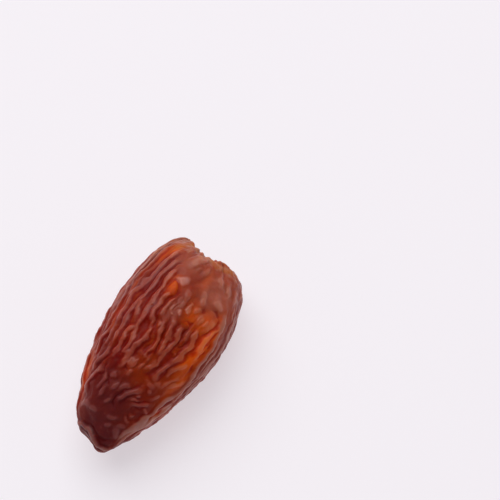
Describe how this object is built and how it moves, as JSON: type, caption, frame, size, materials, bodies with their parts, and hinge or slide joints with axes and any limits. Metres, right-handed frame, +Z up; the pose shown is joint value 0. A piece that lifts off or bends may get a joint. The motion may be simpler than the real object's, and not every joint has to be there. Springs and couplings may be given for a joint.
{
  "type": "medjool date",
  "caption": "Whole dried medjool date, a plump wrinkled fruit with a blunt tip and a torn hollow where the stalk cap was, lying on its side.",
  "frame": {"origin": "on the surface the fruit lies on, under the middle of its bounding box", "axes": "+X along the fruit from its blunt tip to its torn stem end, +Z up"},
  "size_m": [0.0512, 0.0266, 0.0239],
  "materials": {
    "date_skin": "waxy semi-gloss wrinkled fruit skin, reddish brown with pinkish fold crests"
  },
  "bodies": {
    "root": {"date": "date_skin"}
  },
  "joints": []
}
